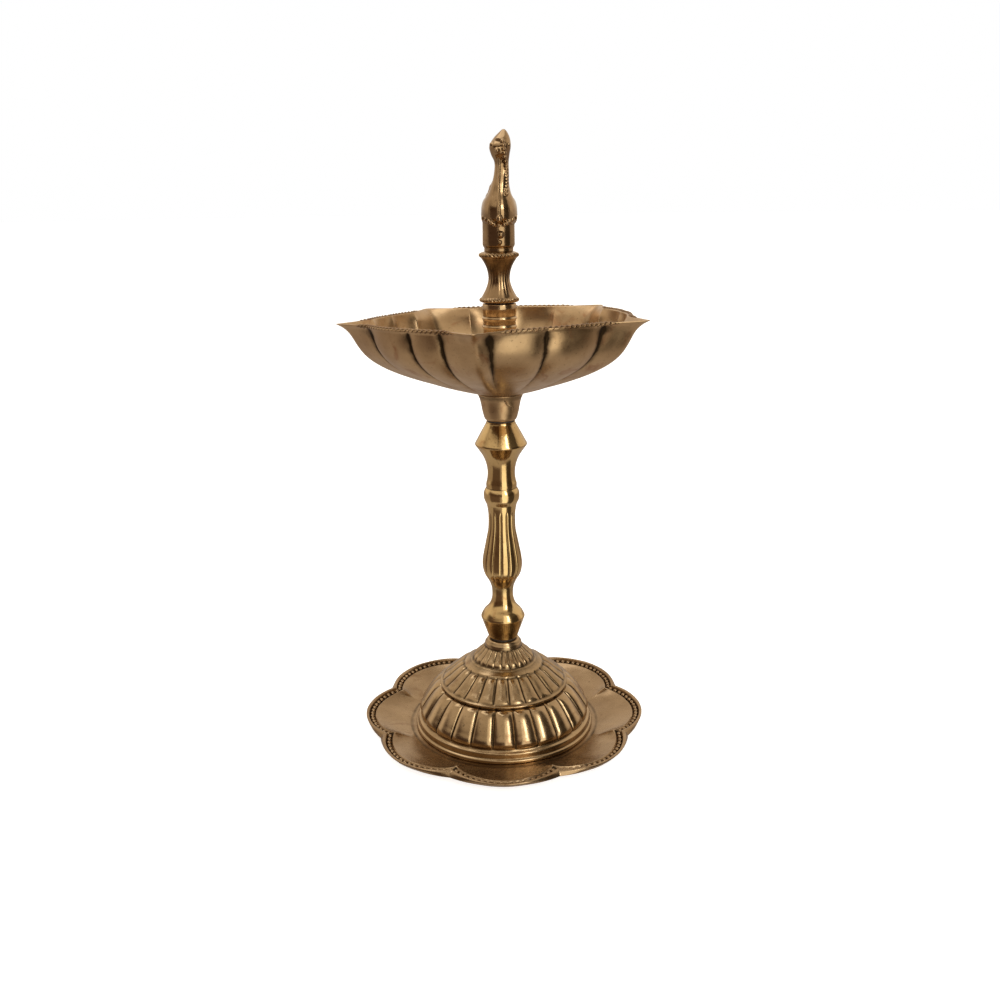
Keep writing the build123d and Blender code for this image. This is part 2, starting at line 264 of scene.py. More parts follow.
def beads(centres, directions, size):
    """Vertices and faces of small oval beads; size is half width, half depth, half height."""
    unit, faces = ball_form(6, 10)
    forms = []
    for centre, direction in zip(centres, directions):
        cs, sn = math.cos(direction), math.sin(direction)
        turn = np.array([[cs, -sn, 0], [sn, cs, 0], [0, 0, 1]])
        forms.append(((unit * size) @ turn.T + centre, faces))
    return joined(*forms)


def oval_loft(sections, turns=48):
    """Closed form through ovals (x, y, z, half_x, half_y)."""
    rows = np.array(curved(*sections, step=0.5))
    angle = around(turns)
    verts = [np.stack([x + a * np.cos(angle), y + b * np.sin(angle), np.full(turns, z)], -1)
             for x, y, z, a, b in rows]
    n = len(verts) * turns
    faces = grid_faces(len(verts), turns, False) + [list(range(turns))[::-1], list(range(n - turns, n))]
    return np.vstack(verts), faces


def joined(*parts):
    """Vertices and faces of several closed forms as one."""
    verts, faces, first = [], [], 0
    for v, f in parts:
        verts.append(v)
        faces += [[i + first for i in q] for q in f]
        first += len(v)
    return np.vstack(verts), faces


def lobes(angle, edges_deg, power):
    """0 along the middle of each lobe, 1 in the grooves at the given angles."""
    edges = np.sort(np.radians(edges_deg) % FULL_TURN)
    start = np.searchsorted(edges, angle % FULL_TURN, side="right") - 1
    low = edges[start]
    high = edges[(start + 1) % len(edges)]
    span = (high - low) % FULL_TURN
    x = ((angle - low) % FULL_TURN) / span * 2 - 1
    return np.abs(x) ** power


# ------------------------------------------------------------------ materials

class Wiring:
    """Small helper to wire the nodes of a material or of the world."""

    def __init__(self, tree, coordinates):
        self.tree = tree
        self.coord = self.new("TexCoord").outputs[coordinates]

    def new(self, kind, **inputs):
        node = self.tree.nodes.new("ShaderNode" + kind)
        for name, value in inputs.items():
            node.inputs[name].default_value = value
        return node

    def link(self, a, b):
        self.tree.links.new(a, b)

    def feed(self, socket, value):
        """Links a socket, or sets it to a number or a colour."""
        if isinstance(value, tuple):
            socket.default_value = (*value, 1.0)
        elif isinstance(value, (int, float)):
            socket.default_value = value
        else:
            self.link(value, socket)

    def scaled(self, scale):
        node = self.new("Mapping", Scale=scale)
        self.link(self.coord, node.inputs["Vector"])
        return node.outputs["Vector"]

    def noise(self, scale, detail=4.0, rough=0.55, distortion=0.0, vector=None):
        node = self.new("TexNoise", Scale=scale, Detail=detail, Roughness=rough, Distortion=distortion)
        self.link(vector or self.coord, node.inputs["Vector"])
        return node.outputs["Fac"]

    def pits(self, scale):
        node = self.new("TexVoronoi", Scale=scale)
        self.link(self.coord, node.inputs["Vector"])
        return node.outputs["Distance"]

    def cavity(self):
        node = self.new("Attribute")
        node.attribute_name = "cavity"
        return node.outputs["Fac"]

    def ramp(self, value, low, high, out_low=0.0, out_high=1.0, kind="LINEAR"):
        node = self.new("MapRange")
        node.interpolation_type = kind
        for name, bound in (("From Min", low), ("From Max", high), ("To Min", out_low), ("To Max", out_high)):
            node.inputs[name].default_value = bound
        self.link(value, node.inputs["Value"])
        return node.outputs["Result"]

    def step(self, value, low, high):
        """0 below low and 1 above high, smooth between them."""
        return self.ramp(value, low, high, kind="SMOOTHSTEP")

    def band(self, value, low, high, soft):
        """1 from low to high, with soft edges."""
        return self.math("MULTIPLY", self.step(value, low - soft, low + soft),
                         self.step(value, high + soft, high - soft))

    def math(self, kind, a, b=0.0):
        node = self.new("Math")
        node.operation = kind
        self.feed(node.inputs[0], a)
        self.feed(node.inputs[1], b)
        return node.outputs["Value"]

    def mix(self, factor, a, b):
        node = self.new("Mix")
        node.data_type = "RGBA"
        node.clamp_factor = True
        self.link(factor, node.inputs[0])
        for socket, colour in zip([s for s in node.inputs if s.type == "RGBA"], (a, b)):
            self.feed(socket, colour)
        return [s for s in node.outputs if s.type == "RGBA"][0]

    def bump(self, height, strength, distance_mm, normal=None):
        node = self.new("Bump", Strength=strength, Distance=distance_mm * MM)
        self.link(height, node.inputs["Height"])
        if normal:
            self.link(normal, node.inputs["Normal"])
        return node.outputs["Normal"]


class Surface(Wiring):
    """A new material with its shader."""

    def __init__(self, name):
        self.mat = bpy.data.materials.new(name)
        self.mat.use_nodes = True
        super().__init__(self.mat.node_tree, "Object")
        self.shader = self.tree.nodes["Principled BSDF"]

    def finish(self, colour, roughness, normal, metallic=0.0):
        self.link(colour, self.shader.inputs["Base Color"])
        self.link(roughness, self.shader.inputs["Roughness"])
        self.link(normal, self.shader.inputs["Normal"])
        self.shader.inputs["Metallic"].default_value = metallic
        return self.mat


# near-black colour painted into the hollows: dirt, and painted shade where shade falls in them
DIRT_AND_SHADE = (0.045, 0.028, 0.014)


def brass(name, light, mid, red, rough, dirt_and_shade_depth=0.25, grain=(1, 1, 1)):
    """Aged brass: mottled tone, coppery patches, dirt and painted shade in the hollows."""
    n = Surface(name)
    tone = n.ramp(n.noise(45, 5, 0.6, 0.3), 0.35, 0.68)
    colour = n.mix(tone, mid, light)
    patches = n.ramp(n.noise(85, 6, 0.65, 0.8), 0.56, 0.72)
    colour = n.mix(patches, colour, red)
    speck = n.ramp(n.noise(900, 2, 0.5), 0.63, 0.78, 0.0, 0.7)
    colour = n.mix(speck, colour, tuple(0.45 * c for c in mid))
    # the deeper a hollow, the nearer its colour goes to near-black: dirt and painted shade
    ragged = n.math("MULTIPLY", n.ramp(n.noise(260, 4), 0.25, 0.75, 0.6, 1.3), n.cavity())
    dirt_and_shade = n.ramp(ragged, 0.15 * dirt_and_shade_depth, dirt_and_shade_depth)
    colour = n.mix(dirt_and_shade, colour, DIRT_AND_SHADE)
    smudge = n.ramp(n.noise(120, 6, 0.7, 0.5), 0.3, 0.7, *rough)
    worn = n.math("ADD", smudge, n.math("MULTIPLY", dirt_and_shade, 0.25))
    worn = n.math("ADD", worn, n.math("MULTIPLY", patches, 0.06))
    wave = n.bump(n.noise(160, 3, 0.5, 0.2), 0.30, 0.25)
    fine = n.bump(n.noise(700, 5, 0.6, 0.0, n.scaled(grain)), 0.22, 0.06, wave)
    pitted = n.bump(n.ramp(n.pits(420), 0.0, 0.22), 0.3, 0.08, fine)
    return n.finish(colour, worn, pitted, metallic=1.0)


def steel(name, colour, rough):
    """Zinc plated steel, dulled."""
    n = Surface(name)
    tone = n.mix(n.ramp(n.noise(220, 5), 0.3, 0.7), tuple(0.6 * c for c in colour), colour)
    dulled = n.ramp(n.noise(500, 4), 0.3, 0.7, rough, rough + 0.2)
    return n.finish(tone, dulled, n.bump(n.noise(1400, 3), 0.3, 0.05), metallic=1.0)


def fibre(name):
    """Oil-soaked fibre washer."""
    n = Surface(name)
    tone = n.mix(n.ramp(n.noise(900, 6, 0.7), 0.3, 0.7), (0.012, 0.008, 0.005), (0.05, 0.032, 0.02))
    soaked = n.ramp(n.noise(400, 4), 0.3, 0.7, 0.45, 0.75)
    return n.finish(tone, soaked, n.bump(n.noise(2500, 4), 0.6, 0.1))


# light and middle tone, coppery patches, range of roughness, depth of a hollow painted fully dark with dirt
# and painted shade, grain
TRAY_MAT = brass("tray_brass", (0.40, 0.28, 0.162), (0.285, 0.19, 0.105), (0.255, 0.15, 0.075),
                 (0.18, 0.34))
DOME_MAT = brass("dome_brass", (0.52, 0.37, 0.21), (0.33, 0.226, 0.12), (0.27, 0.16, 0.08),
                 (0.13, 0.25), 0.3)
STEM_MAT = brass("stem_brass", (0.70, 0.505, 0.24), (0.52, 0.355, 0.16), (0.45, 0.255, 0.11),
                 (0.07, 0.17), 0.25, (1, 1, 6))
BOWL_MAT = brass("bowl_brass", (0.56, 0.393, 0.22), (0.42, 0.278, 0.147), (0.37, 0.20, 0.10),
                 (0.28, 0.44), 0.5)
ROPE_MAT = brass("rope_brass", (0.30, 0.195, 0.105), (0.17, 0.10, 0.05), (0.15, 0.075, 0.035),
                 (0.24, 0.40), 0.12)
# brighter than the finial's brass: a painted highlight on the hub
HUB_MAT_PAINTED_HIGHLIGHT = brass("hub_brass_painted_highlight", (0.60, 0.43, 0.25), (0.45, 0.31, 0.17), (0.39, 0.225, 0.115),
                (0.12, 0.25), 0.2)
FINIAL_MAT = brass("finial_brass", (0.42, 0.285, 0.152), (0.28, 0.18, 0.093), (0.25, 0.135, 0.067),
                   (0.12, 0.25), 0.2)
SCREW_MAT = brass("screw_brass", (0.62, 0.47, 0.24), (0.5, 0.36, 0.18), (0.42, 0.27, 0.13),
                  (0.2, 0.35), 0.1)
STEEL_MAT = steel("screw_steel", (0.42, 0.40, 0.38), 0.3)
FIBRE_MAT = fibre("seal_fibre")


def finish_piece(obj, body, nodes, material):
    """Puts a piece on its body, in place of its CAD nodes, with its material."""
    obj.data.materials.append(material)
    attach(obj, body)
    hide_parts(*nodes)


# ------------------------------------------------------------------ base tray

PETALS = 8
HALF_PETAL = math.pi / PETALS
NOTCH_R = 67.7
FOOT_TIP_R, FOOT_NOTCH_R = 72.9, 70.0
TRAY_EDGE_H = 2.6
TRAY_UNDER_Z = 3.9
TRAY_FLOOR_Z = DOME_Z[0]
TRAY_HOLE_R = 36.0
TRAY_FLAT_R = 50.0
TRAY_WAVE, TRAY_WAVES_PER_MM = 0.18, 0.11
PETAL_BEADS = 18
BEAD_SIZE = (1.2, 1.15, 1.15)
BEAD_INSET = 3.55
BEAD_DROP = 1.75
# the raised edge, from the dish over the top and down its outside: inset, height from the top
EDGE_SECTION = (
    (5.6, -1.3), (5.3, -1.45), (5.0, -1.9), (4.6, -2.3), (4.1, -2.45), (3.5, -2.5), (2.9, -2.4),
    (2.4, -2.0), (2.1, -1.2), (1.9, -0.5), (1.6, -0.12), (1.2, 0.0), (0.7, -0.03), (0.3, -0.2),
    (0.08, -0.5), (0.0, -0.9), (0.0, -1.4), (0.05, -1.9), (0.15, -2.3), (0.4, -2.55), (0.9, -2.6))
DISH_INSET, DISH_DROP = EDGE_SECTION[0]


def petal_radius(angle, tip=TRAY_R, notch=NOTCH_R):
    """Radius of the scalloped outline at an angle."""
    nx, ny = notch * math.cos(HALF_PETAL), notch * math.sin(HALF_PETAL)
    arc = (ny ** 2 + (tip - nx) ** 2) / (2 * (tip - nx))
    centre = tip - arc
    a = (angle + HALF_PETAL) % (2 * HALF_PETAL) - HALF_PETAL
    return centre * np.cos(a) + np.sqrt(arc ** 2 - (centre * np.sin(a)) ** 2)


def tray_rows():
    """Rows of the tray's section: which zone, share of the way out or inset from the edge, and z."""
    top = TRAY_Z[1]
    bottom = top - TRAY_EDGE_H
    rise = top + DISH_DROP - TRAY_FLOOR_Z
    rows = [("flat", t, TRAY_FLOOR_Z) for t in np.linspace(0, 1, 12)]
    rows += [("dish", t, TRAY_FLOOR_Z + rise * (0.75 * t + 0.25 * t ** 3)) for t in np.linspace(0, 1, 40)[1:]]
    rows += [("edge", inset, top + dz) for inset, dz in EDGE_SECTION]
    rows += [("under", 1.0, bottom - 0.05), ("under", 0.985, TRAY_UNDER_Z)]
    rows += [("under", 1 - t, TRAY_UNDER_Z * (1 - t)) for t in np.linspace(0.03, 1, 30)]
    rows += [("flat", 1 - t, 0.0) for t in np.linspace(0, 1, 10)[1:]]
    return rows


def tray_row(zone, share, z, angle):
    """One row of the tray, round all its petals."""
    edge = petal_radius(angle)
    foot = petal_radius(angle, FOOT_TIP_R, FOOT_NOTCH_R)
    height = np.full(len(angle), z)
    if zone == "flat":
        r = np.full(len(angle), TRAY_HOLE_R + share * (TRAY_FLAT_R - TRAY_HOLE_R))
    elif zone == "dish":
        r = TRAY_FLAT_R + share * (edge - DISH_INSET - TRAY_FLAT_R)
        off_notch = np.abs(angle % (2 * HALF_PETAL) - HALF_PETAL) * edge
        reach = smoothstep(0.25, 0.9, share)
        height += 0.75 * np.exp(-(off_notch / 1.1) ** 2) * reach * (1 - smoothstep(0.93, 1.0, share))
        height += 0.5 * np.exp(-(off_notch / 5.0) ** 2) * reach
    elif zone == "edge":
        down = (TRAY_Z[1] - z) / TRAY_EDGE_H
        outer = smoothstep(1.6, 0.4, share)
        r = edge + (foot - edge) * down * outer - share
    else:
        r = TRAY_FLAT_R + share * (foot - 1.0 - TRAY_FLAT_R)
    return round_axis(r, height, angle)


def tray_beads():
    """The row of beads inside the tray's edge."""
    centres, directions = [], []
    for petal in range(PETALS):
        for k in range(PETAL_BEADS):
            a = 2 * HALF_PETAL * (petal - 0.5 + (k + 0.5) / PETAL_BEADS)
            r = petal_radius(a) - BEAD_INSET
            centres.append((r * math.cos(a), r * math.sin(a), TRAY_Z[1] - BEAD_DROP))
            directions.append(a)
    return beads(centres, directions, BEAD_SIZE)


def make_tray():
    """Scalloped tray, a little uneven, with its beads."""
    turns = PETALS * 72
    rows = [tray_row(zone, share, z, around(turns)) for zone, share, z in tray_rows()]
    verts = np.vstack(rows[::-1])
    wobble = np.array([noise.noise(Vector(v * TRAY_WAVES_PER_MM)) for v in verts])
    verts[:, 2] += TRAY_WAVE * wobble * (verts[:, 2] > 1.0)
    verts[:, 2] = np.clip(verts[:, 2], TRAY_Z[0], TRAY_Z[1])
    return mesh_object("tray", *joined((verts, grid_faces(len(rows), turns, True)), tray_beads()))


finish_piece(make_tray(), "base", ["base_tray"], TRAY_MAT)


# ------------------------------------------------------------------ dome

DOME_LIP_R = TRAY_HOLE_R + 4
# how much darker the tiers above the lowest are painted
DOME_UPPER_DARKENING = 0.11
# lowest and highest z, groove angles, depth and outward direction of each tier's lobes
TIERS = (
    (8.3, 24.7, even(24, -90 + 7.5), 2.2, (0.80, 0.60)),
    (26.5, 35.6, even(24, -90 + 5.5), 1.5, (0.60, 0.80)),
    (38.0, 45.4, even(22, -90 - 3.0), 0.85, (0.77, 0.63)),
)


def cut_lobes(r, z, angle):
    """Sinks the grooves between the lobes, and the lobes' round ends, into the dome's outline."""
    for low, high, grooves, depth, out in TIERS:
        y = np.clip((z - low) / (high - low) * 2 - 1, -1, 1)
        along = np.sqrt(1 - y ** 6)
        across = np.sqrt(1 - lobes(angle, grooves, 2.0) * 0.98)
        cut = depth * (1 - along * across) * ((z > low) & (z < high))
        r, z = r - cut * out[0], z - cut * out[1]
    return r, z


def make_dome():
    """Hollow dome in three tiers on a stepped foot."""
    z0, z1 = DOME_Z
    outside = outline(
        straight((DOME_LIP_R, z0), (47.3, z0), (47.6, z0 + 0.4), (47.6, 2.5), (47.2, 3.0), (46.5, 3.1),
                 (46.4, 3.5), (46.3, 5.6), (46.0, 6.1)),
        curved((46.0, 6.1), (45.1, 6.4), (44.7, 6.9), (44.5, 7.4)),
        curved((45.9, 8.4), (45.8, 9.8), (43.5, 14.0), (40.8, 18.0), (37.6, 22.0), (35.1, 24.6)),
        straight((33.9, 24.0), (34.1, 24.5), (34.1, 25.1), (33.7, 25.5), (32.9, 25.7), (32.6, 25.9)),
        curved((32.9, 26.7), (29.5, 29.0), (26.3, 31.7), (23.7, 33.8), (21.4, 35.4)),
        curved((20.7, 35.6), (19.4, 36.2), (18.3, 36.6), (17.5, 36.9)),
        straight((17.5, 36.9), (17.2, 37.3), (16.7, 37.6)),
        curved((16.5, 38.1), (15.3, 40.0), (13.4, 41.6), (11.8, 43.1), (10.6, 44.6), (9.9, 45.6)),
        curved((9.7, 45.7), (9.75, 46.4), (9.5, 47.2), (8.9, 47.9)),
        straight((8.9, 47.9), (8.6, 48.5), (8.2, z1), (STUD_R, z1)), soften=0)
    inside = outline(
        straight((STUD_R, z1), (STUD_R, 40.0), (11.5, 40.0)),
        curved((11.5, 40.0), (16.0, 33.0), (29.5, 22.8), (38.5, 15.0), (42.6, 9.8), (43.1, 7.0)),
        straight((43.1, 7.0), (43.1, 3.4), (DOME_LIP_R, z0)), soften=0)
    path = np.vstack([outside, inside[1:-1]])
    count = len(outside) - 1

    def shape(r, z, angle):
        r[:count], z[:count] = cut_lobes(r[:count], z[:count], angle[:count])
        return softened(r, 2), softened(z, 2)

    # the tiers above the lowest are painted darker
    def dirt_and_shade(z):
        return DOME_UPPER_DARKENING * smoothstep(24.6, 26.5, z)

    return lathe("dome", path, 528, shape, 8, dirt_and_shade)


finish_piece(make_dome(), "base", ["base_dome"], DOME_MAT)


# ------------------------------------------------------------------ stem

FLUTES = even(14, -90 - 4)
FLUTE_DEPTH = 0.5


def make_stem():
    """Turned stem with a fluted vase."""
    z0, z1 = STEM_Z
    hole = SCREW_HOLE_R
    path = outline(
        straight((0, z0 + SCREW_HOLE_DEPTH), (hole, z0 + SCREW_HOLE_DEPTH), (hole, z0), (7.65, z0),
                 (8.0, 51.6), (9.85, 56.8), (11.5, 61.6)),
        curved((11.5, 62.0), (9.66, 65.3), (8.01, 67.0), (6.83, 68.7), (6.11, 70.4), (5.55, 73.0),
               (5.5, 75.2), (5.92, 78.8), (7.3, 82.2), (9.25, 85.5), (10.2, 89.2), (10.3, 91.6),
               (9.88, 95.5), (8.91, 100.5), (7.93, 105.4), (7.1, 109.9), (6.86, 114.2), (6.96, 118.4),
               (7.4, 121.8), (7.75, 123.4)),
        curved((7.75, 123.4), (8.3, 124.6), (8.95, 126.2), (9.14, 128.1), (8.95, 129.9), (8.3, 131.4),
               (7.7, 132.3)),
        straight((7.7, 132.3), (7.85, 132.9), (7.8, 134.3)),
        curved((7.8, 134.3), (7.2, 136.9), (6.96, 139.4), (7.12, 142.2), (7.79, 145.3), (9.05, 148.5),
               (11.0, 151.6), (13.15, 154.6)),
        straight((13.15, 155.0), (9.6, 161.6), (7.35, 165.6), (7.3, z1), (hole, z1),
                 (hole, z1 - SCREW_HOLE_DEPTH), (0, z1 - SCREW_HOLE_DEPTH)),
        soften=1)

    def shape(r, z, angle):
        flute = lobes(angle, FLUTES, 5.0) * between(82.0, 85.0, 117.0, 121.0, z)
        return r - np.where(r > 5.2, FLUTE_DEPTH * flute, 0), z

    # painted shade on the faces that look downwards: under the flare above the dome and under the bulge below
    # the flutes
    def dirt_and_shade(z):
        return 0.10 * between(73.0, 77.0, 82.0, 84.5, z) + 0.08 * (1 - smoothstep(60.0, 61.5, z))

    return lathe("stem_turned", path, 336, shape, 8, dirt_and_shade)


finish_piece(make_stem(), "stem", ["stem"], STEM_MAT)


# ------------------------------------------------------------------ bowl

# direction in degrees and reach of each wick spout
SPOUTS = ((186.0, 78.3), (262.0, 78.4), (329.0, 79.4), (45.5, 78.9), (120.0, 78.9))
SPOUT_WIDTH = 7.8
SPOUT_ROUND = 1.2
SPOUT_BELLY = 6.0
# directions in degrees of the grooves between the lobes
GROOVES = (8, 31, 61, 83, 105, 135, 153, 171, 202, 231, 247, 267, 289.5, 316, 346)
GROOVE_DEPTH = 2.2
# darkening painted into the grooves on the bowl's outside, growing towards the rim: dirt and painted shade
GROOVE_DIRT_AND_SHADE = 0.55
RIM_R = 63.9
RIM_Z = 217.4
SEAT_R = 11.0
WALL = 2.2
LIP = 0.45
BOWL_WAVE, BOWL_WAVES_PER_MM = 0.002, 0.07
HUB_CLEAR_R = 14
LEAN = 1.9
LEAN_TOWARDS = 307.5
LEAN_FULL = 0.1


def spout_form(angle, direction):
    """1 in a spout's direction, falling to 0 beside it."""
    off = np.degrees(from_direction(angle, math.radians(direction)))
    off = np.sqrt(off ** 2 + SPOUT_ROUND ** 2) - SPOUT_ROUND
    return np.exp(-(off / SPOUT_WIDTH) ** 1.1)


def bowl_radius(angle, level):
    """Outer radius of the bowl's wall; level runs from 0 at the seat to 1 at the rim."""
    r = SEAT_R + (RIM_R - SEAT_R) * (1 - (1 - level) ** 2.75)
    belly = SPOUT_BELLY * math.sin(min(1, level / 0.6) * math.pi / 2)
    for direction, reach in SPOUTS:
        flare = (reach - RIM_R - SPOUT_BELLY) * math.exp((level - 1) / 0.1)
        r = r + (belly + flare) * spout_form(angle, direction)
    depth = GROOVE_DEPTH * smoothstep(0.01, 0.3, level) * (1 - 0.6 * smoothstep(0.86, 1.0, level))
    return r - depth * lobes(angle, GROOVES, 3.0)


def leaning(points, share=1.0):
    """Points of the bowl, leaning about its seat as the hand-made bowl does."""
    turn = (Matrix.Rotation(math.radians(LEAN_TOWARDS), 3, "Z")
            @ Matrix.Rotation(-math.radians(LEAN * share), 3, "Y")
            @ Matrix.Rotation(-math.radians(LEAN_TOWARDS), 3, "Z"))
    seat = np.array([0, 0, BOWL_Z[0]])
    return (points - seat) @ np.array(turn).T + seat


def make_bowl():
    """Cast bowl with spouts, lobes, and dirt and painted shade in its grooves; its outside, then its inside.
    """
    z0 = BOWL_Z[0]
    turns = 720
    angle = around(turns)
    rise = RIM_Z - z0
    spouts = sum(spout_form(angle, direction) for direction, _ in SPOUTS)
    valley = lobes(angle, GROOVES, 4.5)
    verts, dirt_and_shade = [], []

    def row(r, z, level, groove_dirt_and_shade=0):
        verts.append(leaning(round_axis(r, z, angle), min(1.0, level / LEAN_FULL)))
        dirt_and_shade.append(np.broadcast_to(groove_dirt_and_shade, turns))

    row(STUD_R, z0, 0)
    row(7.5, z0, 0)
    levels = np.linspace(0, 1, 90) ** 1.3
    for s in levels:
        lip = LIP * smoothstep(0.955, 0.975, s) * (1 - spouts)
        # dirt and painted shade in the outside grooves
        groove_dirt_and_shade = GROOVE_DIRT_AND_SHADE * valley * smoothstep(0.05, 0.95, s)
        row(bowl_radius(angle, s) + lip, z0 + s * rise, s, groove_dirt_and_shade)
    for s in levels[::-1]:
        row(bowl_radius(angle, s) - WALL, z0 + WALL + s * (rise - WALL), s)
    row(STUD_R, z0 + WALL, 0)
    verts = np.vstack(verts)
    wobble = np.array([noise.noise(Vector(v * BOWL_WAVES_PER_MM)) for v in verts])
    outer = np.hypot(verts[:, 0], verts[:, 1]) > HUB_CLEAR_R
    verts[:, :2] *= (1 - BOWL_WAVE * (1 + wobble) * outer)[:, None]
    faces = grid_faces(len(dirt_and_shade), turns, True)
    return mesh_object("bowl_cast", verts, faces, 14, np.concatenate(dirt_and_shade))


ROPE_R = 0.8
ROPE_PITCH = 2.6
ROPE_INSET, ROPE_DROP = 0.7, 0.35
ROPE_GAP = 8.0
ROPE_TAPER = 6.0


def rope_line(first, last):
    """Points along the rim from one direction to another, in degrees."""
    along = np.radians(np.linspace(first, last, 560))
    r = bowl_radius(along, 1.0) - ROPE_INSET
    return leaning(round_axis(r, RIM_Z - ROPE_DROP, along))


def rope(k):
    """Twisted rope on the rim between one spout and the next."""
    first, last = SPOUTS[k][0], SPOUTS[(k + 1) % len(SPOUTS)][0]
    last += 360.0 if last < first else 0.0
    centre = rope_line(first + ROPE_GAP, last - ROPE_GAP)
    step = np.linalg.norm(np.diff(centre, axis=0), axis=1)
    run = np.concatenate([[0], np.cumsum(step)])
    tangent = np.gradient(centre, axis=0)
    tangent /= np.linalg.norm(tangent, axis=1)[:, None]
    side = np.cross(tangent, [0, 0, 1])
    ends = np.minimum(1, np.minimum(run, run[-1] - run) / ROPE_TAPER) ** 0.5
    turns = 16
    phi = around(turns)
    verts = []
    for i in range(len(centre)):
        twist = np.cos(2 * phi - FULL_TURN * run[i] / ROPE_PITCH)
        size = 0.12 + ROPE_R * ends[i] * (1 + 0.26 * twist)
        ring = np.outer(np.cos(phi) * size, side[i]) + np.outer(np.sin(phi) * size, [0, 0, 1])
        verts.append(centre[i] + ring)
    n = len(centre) * turns
    faces = [q[::-1] for q in grid_faces(len(centre), turns, False)]
    faces += [list(range(turns)), list(range(n - turns, n))[::-1]]
    return np.vstack(verts), faces


def make_ropes():
    """The ropes between all the spouts."""
    return mesh_object("bowl_rope", *joined(*[rope(k) for k in range(len(SPOUTS))]), rounds=8)


finish_piece(make_bowl(), "bowl", ["bowl"], BOWL_MAT)
finish_piece(make_ropes(), "bowl", ["bowl"], ROPE_MAT)


# ------------------------------------------------------------------ collar and hub

CRACK_LENGTH = 6.5
CRACK_WIDTH = 0.22
CRACK_DEPTH = 0.35


def make_collar():
    """Tapered collar with a crack on its front and painted shade at its top, under the bowl."""
    z0, z1 = COLLAR_Z
    path = outline(
        straight((STUD_R, z0), (7.5, z0), (7.75, z0 + 0.3), (8.3, z0 + 1.4)),
        curved((8.3, z0 + 1.4), (9.1, z0 + 4.6), (9.75, z0 + 8.2), (10.5, z0 + 11.0), (11.6, z1)),
        straight((11.6, z1), (STUD_R, z1)), soften=1)

    def shape(r, z, angle):
        down = np.clip((z1 - 2.0 - z) / CRACK_LENGTH, 0, 1)
        crack = -math.pi / 2 + 0.12 + 0.75 * down + 0.03 * np.sin(z * 1.7)
        off = from_direction(angle, crack)
        length = smoothstep(0, 0.05, down) * smoothstep(1, 0.95, down)
        depth = CRACK_DEPTH * length * np.exp(-(off * 9.0 / CRACK_WIDTH) ** 2)
        return r - np.where(r > 6, depth, 0), z

    # painted shade at the top of the collar, right under the bowl
    def dirt_and_shade(z):
        return 0.3 * smoothstep(z1 - 4.0, z1 - 1.0, z)

    return lathe("collar", path, 480, shape, 8, dirt_and_shade)


# added to the depth of every hollow on the hub: more dirt and painted shade there
HUB_DIRT_AND_SHADE = 0.03


def make_hub():
    """Ridged hub with a threaded hole for the finial."""
    z0, z1 = HUB_Z
    hole = FINIAL_HOLE_R
    path = outline(
        straight((0, z0), (8.9, z0)),
        curved((8.9, z0), (8.3, z0 + 2.5), (8.0, z0 + 8)),
        straight((8.0, z0 + 8), (7.9, 212.1), (8.3, 212.7), (8.35, 213.3), (7.9, 213.9), (7.85, 216.2),
                 (8.35, 216.8), (8.35, 217.4), (7.9, 218.0)),
        curved((7.9, 218.0), (8.2, 219.8), (8.3, 221.6), (8.1, z1)),
        straight((8.1, z1), (hole, z1), (hole, z1 - SCREW_HOLE_DEPTH), (0, z1 - SCREW_HOLE_DEPTH)), soften=1)

    def dirt_and_shade(z):
        return np.full_like(z, HUB_DIRT_AND_SHADE)

    return lathe("hub", path, 128, None, 6, dirt_and_shade)


finish_piece(make_collar(), "bowl", ["bowl_collar"], BOWL_MAT)
finish_piece(make_hub(), "bowl", ["bowl_hub"], HUB_MAT_PAINTED_HIGHLIGHT)


# ------------------------------------------------------------------ finial

WAIST_FLUTES = even(16, -90 + 4)
WAIST_FLUTE_DEPTH = 0.14
RING_STRANDS = 30
RING_HEIGHTS = (1.1, 22.1)


def make_pedestal():
    """Fluted waist between two roped rings."""
    z0, z1 = PEDESTAL_Z
    path = outline(
        straight((FINIAL_STUD_R, z0), (8.4, z0)),
        curved((8.4, z0), (9.3, z0 + 0.35), (9.7, z0 + 1.1), (9.3, z0 + 1.9), (8.6, z0 + 2.3)),
        curved((8.6, z0 + 2.3), (7.5, z0 + 4.2), (6.1, z0 + 7.1), (5.3, z0 + 9.8), (5.14, z0 + 11.4),
               (5.3, z0 + 13.2), (6.2, z0 + 16.6), (7.7, z0 + 19.4), (8.7, z0 + 20.9)),
        curved((8.7, z0 + 20.9), (9.4, z0 + 21.3), (9.7, z0 + 22.1), (9.3, z0 + 22.9), (8.4, z0 + 23.3),
               (7.6, z1)),
        straight((7.6, z1), (FINIAL_STUD_R, z1), (FINIAL_STUD_R, z0)), soften=1)[:-1]

    def shape(r, z, angle):
        outer = r > 4.5
        waist = between(z0 + 2.4, z0 + 4.2, z0 + 19.0, z0 + 20.8, z)
        r = r - np.where(outer, WAIST_FLUTE_DEPTH * waist * lobes(angle, WAIST_FLUTES, 3.0), 0)
        for height in RING_HEIGHTS:
            up = z - (z0 + height)
            near = np.exp(-(up / 0.95) ** 4) * outer
            twist = 0.5 - 0.5 * np.cos(RING_STRANDS * angle + 2.2 * up)
            r = r - 0.5 * near * (1 - twist) ** 1.5
        return r, z

    # painted shade on the upper waist, which faces downwards under the top ring
    def dirt_and_shade(z):
        return 0.12 * between(z0 + 9.0, z0 + 15.0, z0 + 20.0, z0 + 21.0, z)

    return lathe("pedestal", path, 480, shape, 6, dirt_and_shade)


finish_piece(make_pedestal(), "finial", ["finial_pedestal"], FINIAL_MAT)


